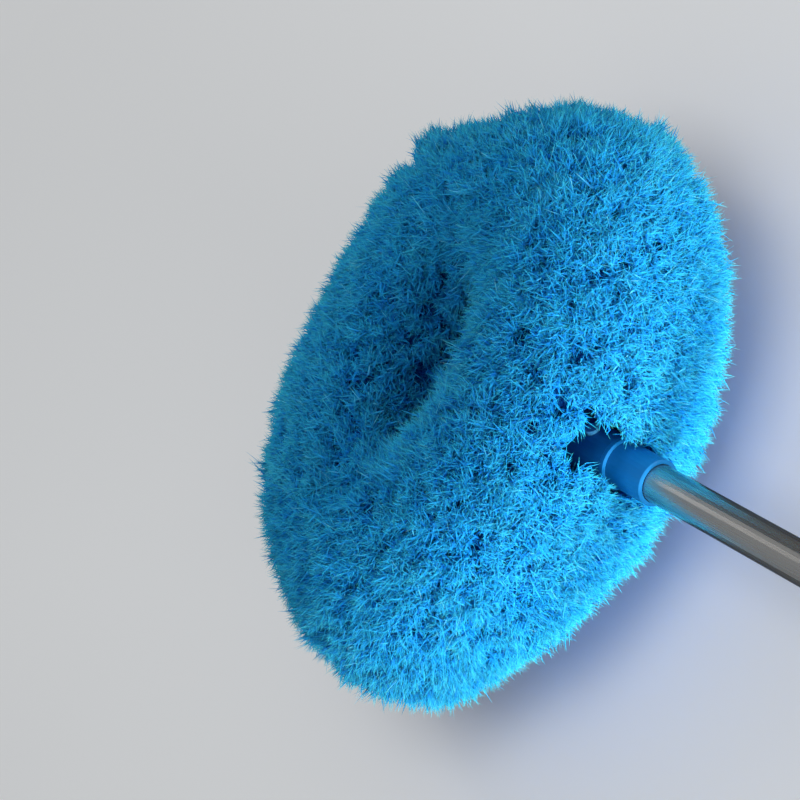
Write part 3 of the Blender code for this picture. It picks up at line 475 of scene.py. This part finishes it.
def pick_places(section, half, count, chance):
    """Rows and turns spread evenly over one half of a section's outer surface."""
    rows, turns, area = surface_cells(section, half)
    bands = max(1, round(math.sqrt(count) * BANDS_SHARE))
    edges = np.linspace(0, len(rows) - 1, bands + 1)
    run = np.concatenate([[0], np.cumsum(area.sum(1))])
    shares = np.diff(np.interp(edges, np.arange(len(rows)), run)) / run[-1]
    row, turn = [], []
    for band in range(bands):
        number = max(1, round(count * shares[band]))
        middle = int((edges[band] + edges[band + 1]) / 2)
        across = np.concatenate([[0], np.cumsum(area[min(middle, len(area) - 1)])])
        wanted = (np.arange(number) + chance.random(number)) / number
        turn.append(np.interp(wanted * across[-1], across, turns))
        along = edges[band] + chance.random(number) * (edges[band + 1] - edges[band])
        row.append(np.interp(along, np.arange(len(rows)), rows))
    return np.concatenate(row), np.concatenate(turn)


def uneven(points, side):
    """How much longer or shorter the pile stands at each point."""
    more = np.zeros(points.shape[:-1])
    for place, amount, breadth in UNEVEN:
        away = np.linalg.norm(points * (side, 1, 1) - np.array(place), axis=-1)
        more += amount * np.exp(-((away / breadth) ** 2))
    return more


def eased(value, low, high):
    """0 below one value, 1 above another, eased between."""
    share = np.clip((value - low) / (high - low), 0, 1)
    return share * share * (3 - 2 * share)


def cross_over(tip, row, chance):
    """Let the strands nearest the two partings cross to the other side."""
    near_end = np.clip(1 - np.minimum(row, 1 - row) / CROSSING_ROWS, 0, 1)
    tip[:, 0] -= CROSSING * near_end * chance.random(len(row))
    return tip


def part_at_pole(points, side, loose):
    """Comb the pile over the socket sideways, and all of it off the pole.

    The button's side opens wider. Loose runs from 0 to 1 and varies the room a little.
    """
    x, place, z = points[..., 0], -points[..., 1], points[..., 2]
    behind = place - PARTING_SLOPE * np.maximum(z - SOCKET_TOP, 0)
    amount = eased(behind, *PARTING_RUN) * (z > 0)
    widest = BUTTON_SIDE_ROOM if side > 0 else OTHER_SIDE_ROOM
    least = amount * widest * (1 - LOOSER_SHARE * loose)
    x = np.where(x < 0, x * (1 - amount), x)
    x = np.where(x < PARTING_BREADTH, least + x * (1 - least / PARTING_BREADTH), x)
    distance = np.hypot(x, z)
    room = POLE_ROOM_NEAR + (POLE_ROOM_FAR - POLE_ROOM_NEAR) * eased(place, *POLE_ROOM_RUN)
    room = (room + LOOSER_ROOM * loose) * (place > PARTING_START)
    push = np.maximum(distance, room) / np.maximum(distance, TINY)
    return np.stack([x * push, -place, z * push], -1)


def keep_off_pole(points):
    """Lift what still runs into the socket or the sleeve to their surface."""
    away = points[..., [0, 2]]
    distance = np.linalg.norm(away, axis=-1)
    inside = (distance < POLE_ROOM_NEAR) & (-points[..., 1] > PARTING_START)
    factor = np.where(inside, POLE_ROOM_NEAR / np.maximum(distance, TINY), 1)
    points[..., [0, 2]] = away * factor[..., None]
    return points


def tuft_lines(section, half, count, chance, side):
    """Each tuft's root and tip, its direction, its lean and the share where it ends."""
    row, turn = pick_places(section, half, count // STRANDS_PER_TUFT, chance)
    root = root_point(row, turn)
    tip = cross_over(reach_point(row, turn, 1.0), row, chance)
    tip += unit(tip - root) * uneven(tip, side)[:, None]
    tip = part_at_pole(tip, side, chance.random(len(tip)))
    along = unit(tip - root)
    waves = np.random.default_rng(STRAND_SEED)
    lean = sideways(lean_field(tip * (side, 1, 1), waves), along)
    lean = lean * LEAN + sideways(chance.normal(size=tip.shape), along) * TUFT_LEAN
    end = TUFT_END_SHARE - TUFT_LOSS * chance.random(len(row))
    return root, tip, along, lean, end


def strand_lines(section, half, count, chance, side):
    """Each strand's middle line from base to tip, its tone, its points' shares of the way
    from the arm to the pile's surface, and its tuft's direction."""
    tufts = tuft_lines(section, half, count, chance, side)
    root, tip, along, lean, end = (np.repeat(v, STRANDS_PER_TUFT, axis=0) for v in tufts)
    number = len(root)
    spread = unit(sideways(chance.normal(size=tip.shape), along))
    aside = np.sqrt(chance.random((number, 1)))
    spread *= TUFT_SPREAD * aside
    length = end - STRAND_LOSS * chance.random(number) - DOME * aside[:, 0] ** 2
    step = np.array(ALONG_SHARES)[None]
    run = (START_SHARE + (length[:, None] - START_SHARE) * step)[..., None]
    points = root[:, None] + (tip - root)[:, None] * run
    points += lean[:, None] * run**LEAN_POWER

    stray = chance.random(number) < STRAY_STRANDS
    splay = sideways(chance.normal(size=tip.shape), along, SIDEWAYS_SHARE) * TIP_SPLAY
    splay *= np.where(stray, STRAY_SPLAY, OTHER_SPLAY)[:, None]
    points += spread[:, None] * (TUFT_FAN[0] + TUFT_FAN[1] * step[..., None])
    points += splay[:, None] * step[..., None] ** SPLAY_POWER
    kinks = sideways(chance.normal(size=points.shape), along[:, None], SIDEWAYS_SHARE) * KINK
    points += kinks * np.array(BEND_SHARES)[:, None]

    points = keep_off_pole(points)
    floor = -CENTRE.z + FLOOR_GAP + FLOOR_SPREAD * chance.random((number, 1))
    points[..., 2] = np.maximum(points[..., 2], floor)
    tone = np.repeat(chance.random(len(tufts[0])), STRANDS_PER_TUFT) * TUFT_TONE
    tone = np.where(stray, 1.0, tone + chance.random(number) * STRAND_TONE)
    return points, tone, run[..., 0], along


def strand_bodies(points, chance):
    """A flat three-sided body round each line, closed at the base and pointed at the tip."""
    number, rings = points.shape[0], points.shape[1] - 1
    along = unit(np.gradient(points, axis=1))[:, :-1]
    any_way = np.broadcast_to(chance.normal(size=(number, 1, 3)), along.shape)
    side = unit(sideways(any_way, along))
    over = np.cross(side, along)
    fine = chance.random((number, 1)) < FINE_STRANDS
    width = np.where(fine, FINE_WIDTH, WISP_WIDTH) * chance.uniform(*WIDTH_RANGE, (number, 1))
    width = width * np.array(WIDTH_SHARES)[None]
    thick = np.maximum(width * FLATNESS, LEAST_THICKNESS)
    middle = points[:, :-1]
    corners = [
        middle + side * (width / 2)[..., None],
        middle - side * (width / 2)[..., None],
        middle + over * thick[..., None],
    ]
    corners = np.stack(corners, 2)
    verts = np.concatenate([corners.reshape(number, rings * 3, 3), points[:, -1:]], 1)
    per = rings * 3 + 1
    quads = []
    for ring in range(rings - 1):
        for corner in range(3):
            other = (corner + 1) % 3
            low, high = ring * 3, ring * 3 + 3
            quads.append([low + corner, low + other, high + other, high + corner])
    last = (rings - 1) * 3
    tris = [[last + corner, last + (corner + 1) % 3, per - 1] for corner in range(3)]
    tris.append([2, 1, 0])
    start = (np.arange(number) * per)[:, None, None]
    quads = (start + np.array(quads)[None]).reshape(-1, 4)
    tris = (start + np.array(tris)[None]).reshape(-1, 3)
    return verts.reshape(-1, 3), quads, tris


def sleeve_faces(rings, count):
    """Faces of a closed sleeve: its outer wall, its inner wall and its two ends."""
    quads = []
    inside = rings * count
    for ring in range(rings - 1):
        for step in range(count):
            other = (step + 1) % count
            low, high = ring * count, (ring + 1) * count
            quads.append([low + step, high + step, high + other, low + other])
            low, high = inside + low, inside + high
            quads.append([low + step, low + other, high + other, high + step])
    final = (rings - 1) * count
    for step in range(count):
        other = (step + 1) % count
        quads.append([step, other, inside + other, inside + step])
        last, last_other = final + step, final + other
        quads.append([last, inside + last, inside + last_other, last_other])
    return np.array(quads)


def core_body(section, side):
    """The dense lower pile, as a closed lumpy sleeve round the arm under the loose strands."""
    rows = np.linspace(section, section + 1, ROW_STEPS + 1) / SECTIONS
    turns = np.linspace(0, 2 * math.pi, CORE_TURNS + 1)[:-1]
    row, turn = np.meshgrid(rows, turns, indexing="ij")
    inner = root_point(row, turn)
    outer = reach_point(row, turn, CORE_SHARE)
    more = uneven(outer / CORE_SHARE, side)[..., None] * CORE_UNEVEN
    outer += unit(outer - inner) * more
    waves = np.random.default_rng(STRAND_SEED + 1)
    outer = outer + lean_field(outer * CORE_LUMP_CROWDING, waves) * CORE_LUMPS
    outer = part_at_pole(outer, side, np.zeros(row.shape))
    verts = np.concatenate([outer.reshape(-1, 3), inner.reshape(-1, 3)])
    along = (row * SECTIONS - section).ravel()
    round_arm = turn.ravel() / (2 * math.pi)
    up = np.concatenate([round_arm, round_arm + CORE_SPOT_HEIGHT])
    spots = np.stack([np.concatenate([along, along]), up], -1)
    return verts, sleeve_faces(len(rows), len(turns)), spots


def mesh_from(name, verts, faces):
    """A mesh from arrays of points and of faces with as many corners each."""
    mesh = bpy.data.meshes.new(name)
    mesh.vertices.add(len(verts))
    mesh.vertices.foreach_set("co", verts.astype(np.float32).ravel())
    corners = np.concatenate([face.ravel() for face in faces])
    sizes = np.concatenate([np.full(len(face), face.shape[1]) for face in faces])
    mesh.loops.add(len(corners))
    mesh.loops.foreach_set("vertex_index", corners.astype(np.int32))
    mesh.polygons.add(len(sizes))
    mesh.polygons.foreach_set("loop_start", (np.cumsum(sizes) - sizes).astype(np.int32))
    mesh.update(calc_edges=True)
    mesh.shade_smooth()
    return mesh, corners


def soften_normals(mesh, outward):
    """Shade each strand partly as the pile it stands in, as fine fibres are."""
    own = np.zeros(len(mesh.vertices) * 3, np.float32)
    mesh.vertex_normals.foreach_get("vector", own)
    own = own.reshape(-1, 3)
    own[: len(outward)] = own[: len(outward)] * (1 - PILE_SHADING) + outward * PILE_SHADING
    made = mesh.attributes.new("custom_normal", "FLOAT_VECTOR", "POINT")
    made.data.foreach_set("vector", unit(own).astype(np.float32).ravel())


def point_values(mesh, name, values):
    """Keep a value for each point, for the material to read."""
    made = mesh.attributes.new(name, "FLOAT", "POINT")
    made.data.foreach_set("value", values.astype(np.float32))


def strand_spots(tones, shares, number):
    """Places in the bake's picture, where each strand's faces lie a little apart."""
    rings = len(ALONG_SHARES) - 1
    nudge = np.tile([*([-1, 1, 0] * rings), 0], number)
    lift = np.tile([*([0, 0, 1] * rings), 0], number)
    across = SPOT_EDGE + SPOT_RUN * tones + SPOT_WIDTH * nudge
    return np.stack([across, SPOT_RUN * shares + SPOT_HEIGHT * lift], -1)


def half_area(section, half):
    return surface_cells(section, half)[2].sum()


def make_pile(material):
    """Two pieces of pile for each section on each side: its upper and its lower half."""
    whole = sum(half_area(section, half) for section in range(SECTIONS) for half in (0, 1))
    divisor = 1
    for side, word in ((-1, "left"), (1, "right")):
        for section in range(SECTIONS):
            for half, place in ((0, "upper"), (1, "lower")):
                share = half_area(section, half) / whole
                count = int(STRANDS_PER_SIDE * share / divisor)
                name = f"{word}_pile_{section + 1}_{place}_strands"
                made = pile_piece(name, side, section, half, count, material)
                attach(made, "head_section")
                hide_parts(f"{word}_pile_{section + 1}")


def pile_piece(name, side, section, half, count, material):
    """One piece: its strands and, in an upper half, the section's core with them."""
    chance = np.random.default_rng([STRAND_SEED, side + 1, section, half])
    lines, tone, run, along = strand_lines(section, half, count, chance, side)
    verts, quads, tris = strand_bodies(lines, chance)
    rings = lines.shape[1] - 1
    share = np.concatenate([np.repeat(run[:, :-1], 3, axis=1), run[:, -1:]], 1).ravel()
    tones = np.repeat(tone, rings * 3 + 1)
    spots = strand_spots(tones, share, len(lines))
    faces = [quads, tris]
    if half == 0:
        core, core_quads, core_spots = core_body(section, side)
        core_spots = SPOT_EDGE + core_spots * CORE_SPOT_RUNS
        faces = [quads, core_quads + len(verts), tris]
        verts = np.concatenate([verts, core])
        spots = np.concatenate([spots, core_spots])
        share = np.concatenate([share, np.zeros(len(core))])
        tones = np.concatenate([tones, np.full(len(core), CORE_TONE)])
    verts = verts * (side, 1, 1) + np.array(CENTRE)
    if side < 0:
        faces = [face[:, ::-1] for face in faces]
    mesh, corners = mesh_from(name, verts, faces)
    soften_normals(mesh, np.repeat(along, rings * 3 + 1, axis=0) * (side, 1, 1))
    point_values(mesh, "strand_share", share)
    point_values(mesh, "strand_tone", tones)
    layer = mesh.uv_layers.new(name="OFBake")
    layer.data.foreach_set("uv", spots[corners].astype(np.float32).ravel())
    mesh.materials.append(material)
    made = bpy.data.objects.new(name, mesh)
    bpy.context.scene.collection.objects.link(made)
    return made


# Camera, light and floor. Angles are in degrees

CAMERA_AZIMUTH = 4.9
CAMERA_ELEVATION = 40.1
CAMERA_ROLL = 66.9
CAMERA_DISTANCE = 1.3
CLIP_START = 0.05
CLIP_END = 20
FOCAL_PIXELS = 2435
RING_PIXEL = (492.3, 390.6)
IMAGE_SIDE = 800
SENSOR_MM = 36

STUDIO_COLOUR = (0.94, 0.97, 1, 1)
STUDIO_STRENGTH = 0.4
FLOOR_HALF_SIDE = 6
FLOOR_COLOUR = (0.86, 0.86, 0.86)
MIRRORED_FLOOR_COLOUR = (0.12, 0.12, 0.12)
CARD_COLOUR = (0.02, 0.02, 0.02)
CARD_HALF_SIDE = 0.5
CARD_SCALE = (1.6, 0.9, 1)
CARD_FROM = Vector((0, CENTRE.y - 0.2, 0.25))
CARD_AWAY = Vector((0.62, 0.75, 0))
CARD_DISTANCE = 0.8


def direction(azimuth, elevation):
    """A direction turned from the pole's side towards +x, then raised."""
    a, e = math.radians(azimuth), math.radians(elevation)
    return Vector((math.sin(a) * math.cos(e), -math.cos(a) * math.cos(e), math.sin(e)))


def make_camera():
    """The photograph's view: from above the pole, rolled so that the ring's right end is up."""
    back = direction(CAMERA_AZIMUTH, CAMERA_ELEVATION)
    level = direction(CAMERA_AZIMUTH + 90, 0)
    steep = back.cross(level)
    roll = math.radians(CAMERA_ROLL)
    right = level * math.cos(roll) - steep * math.sin(roll)
    up = level * math.sin(roll) + steep * math.cos(roll)
    data = bpy.data.cameras.new("camera")
    data.sensor_width = SENSOR_MM
    data.lens = FOCAL_PIXELS * SENSOR_MM / IMAGE_SIDE
    data.clip_start = CLIP_START
    data.clip_end = CLIP_END
    camera = bpy.data.objects.new("camera", data)
    per_pixel = CAMERA_DISTANCE / FOCAL_PIXELS
    aside = (RING_PIXEL[0] - IMAGE_SIDE / 2) * per_pixel
    below = (RING_PIXEL[1] - IMAGE_SIDE / 2) * per_pixel
    place = CENTRE + back * CAMERA_DISTANCE - right * aside + up * below
    turned = [(right[i], up[i], back[i], 0) for i in range(3)]
    camera.matrix_world = Matrix.Translation(place) @ Matrix([*turned, (0, 0, 0, 1)])
    bpy.context.scene.collection.objects.link(camera)
    bpy.context.scene.camera = camera


def area_light(name, azimuth, elevation, distance, size, power, colour):
    """A soft box aimed at the ring."""
    away = direction(azimuth, elevation)
    data = bpy.data.lights.new(name, "AREA")
    data.shape = "RECTANGLE"
    data.size, data.size_y = size
    data.energy = power
    data.color = colour
    light = bpy.data.objects.new(name, data)
    light.location = CENTRE + away * distance
    light.rotation_euler = away.to_track_quat("Z", "Y").to_euler()
    bpy.context.scene.collection.objects.link(light)


def make_light():
    """A wide low key lamp, a weak one above and two that the tube reflects."""
    area_light("key light", -3, 1, 8, (5.67, 0.436), power=1460, colour=(1, 0.98, 0.95))
    area_light("top light", 10, 75, 1.8, (1.2, 1.2), power=10, colour=(0.95, 0.98, 1))
    area_light("streak light", 162, 37, 1.5, (0.3, 0.8), power=1.5, colour=(1, 0.97, 0.93))
    area_light("edge light", 63, 8, 1.3, (0.3, 0.3), power=1.5, colour=(1, 1, 1))
    world = bpy.data.worlds.new("studio")
    world.use_nodes = True
    background = world.node_tree.nodes["Background"]
    background.inputs["Color"].default_value = STUDIO_COLOUR
    background.inputs["Strength"].default_value = STUDIO_STRENGTH
    bpy.context.scene.world = world


def flat_square(name, half_side, material):
    shape = bmesh.new()
    bmesh.ops.create_grid(shape, x_segments=1, y_segments=1, size=half_side)
    mesh = bpy.data.meshes.new(name)
    shape.to_mesh(mesh)
    shape.free()
    mesh.materials.append(material)
    made = bpy.data.objects.new(name, mesh)
    bpy.context.scene.collection.objects.link(made)
    return made


def make_floor():
    """A wide pale floor, which reflections show darker."""
    made = Finish("pale floor", Roughness=0.8)
    mirrored = made.node("LightPath", {}, output="Is Glossy Ray")
    made.set("Base Color", made.mix(mirrored, FLOOR_COLOUR, MIRRORED_FLOOR_COLOUR))
    floor = flat_square("floor", FLOOR_HALF_SIDE, made.material)


def make_card():
    """A dark card beyond the ring that only reflections show, for the steel's dark band."""
    finish = Finish("dark card", Base_Color=CARD_COLOUR)
    card = flat_square("dark card", CARD_HALF_SIDE, finish.material)
    card.location = CARD_FROM + CARD_AWAY * CARD_DISTANCE
    card.rotation_euler = CARD_AWAY.to_track_quat("Z", "Y").to_euler()
    card.scale = CARD_SCALE
    card.visible_camera = False
    card.visible_diffuse = False
    card.visible_shadow = False
    card.visible_transmission = False


def dress_nodes():
    """A finish for every CAD node that stays in view."""
    finishes = {
        "blue_plastic": moulded_plastic("blue plastic", (0.002, 0.16, 0.44), 0.34),
        "light_blue_plastic": moulded_plastic("light blue plastic", (0.06, 0.36, 0.68), 0.35),
        "steel": brushed_steel(),
        "spring_steel": plain_metal("spring steel", (0.45, 0.45, 0.46), 0.35),
        "arm_coating": moulded_plastic("arm coating", (0.02, 0.12, 0.35), 0.6),
        "nylon": moulded_plastic("white nylon", (0.8, 0.8, 0.77), 0.5, 0.02),
    }
    for node in NODES.values():
        slot = node.data.materials[0].name
        if slot in finishes:
            node.data.materials[0] = finishes[slot]


make_camera()
make_light()
make_floor()
make_card()
dress_nodes()
make_pile(microfibre())

bpy.context.scene.view_settings.view_transform = "Standard"
